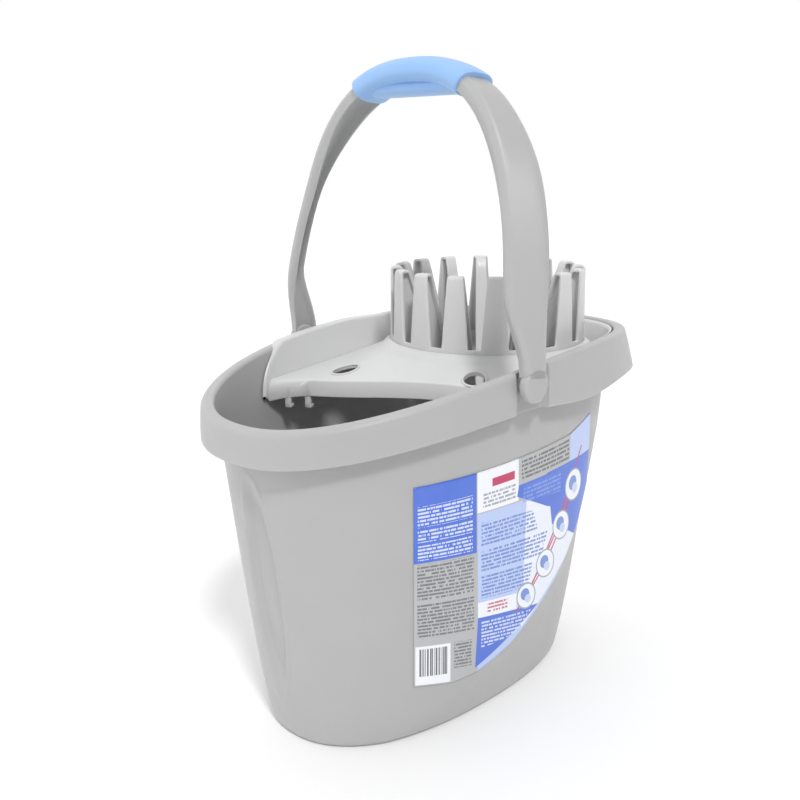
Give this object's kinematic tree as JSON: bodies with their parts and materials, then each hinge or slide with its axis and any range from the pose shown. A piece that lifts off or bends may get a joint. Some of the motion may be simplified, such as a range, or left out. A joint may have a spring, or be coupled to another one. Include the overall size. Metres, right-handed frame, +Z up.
{
  "type": "mop bucket with wringer",
  "caption": "Oval plastic mop bucket with a slanting collar, a lift-out wringer insert with a crown of squeezing fingers, and a swinging carry handle with a soft grip.",
  "frame": {"origin": "on the ground, under the middle of the whole bucket's outline", "axes": "+X towards the wringer end, -X towards the pouring end, +Y across the bucket away from the label, +Z up"},
  "size_m": [0.3754, 0.2576, 0.4731],
  "materials": {
    "bucket_plastic": "injection moulded polypropylene, light grey, satin",
    "wringer_plastic": "injection moulded polypropylene, pale grey, satin",
    "grip_rubber": "soft-touch thermoplastic rubber, light blue, matt",
    "label_film": "printed self-adhesive film, semi-gloss"
  },
  "bodies": {
    "bucket": {"bucket_body": "bucket_plastic", "side_label": "label_film"},
    "wringer": {"wringer_tray": "wringer_plastic", "wringer_basket": "wringer_plastic"},
    "handle": {"carry_handle": "bucket_plastic", "handle_grip": "grip_rubber"}
  },
  "joints": [
    {"name": "handle_swing", "type": "hinge", "parent": "bucket", "child": "handle", "pos_m": [-0.02605, 0, 0.26], "axis": [0, 1, 0], "range_deg": [-100, 65]},
    {"name": "wringer_lift", "type": "slide", "parent": "bucket", "child": "wringer", "axis": [0, 0, 1], "range_m": [0, 0.03]}
  ]
}
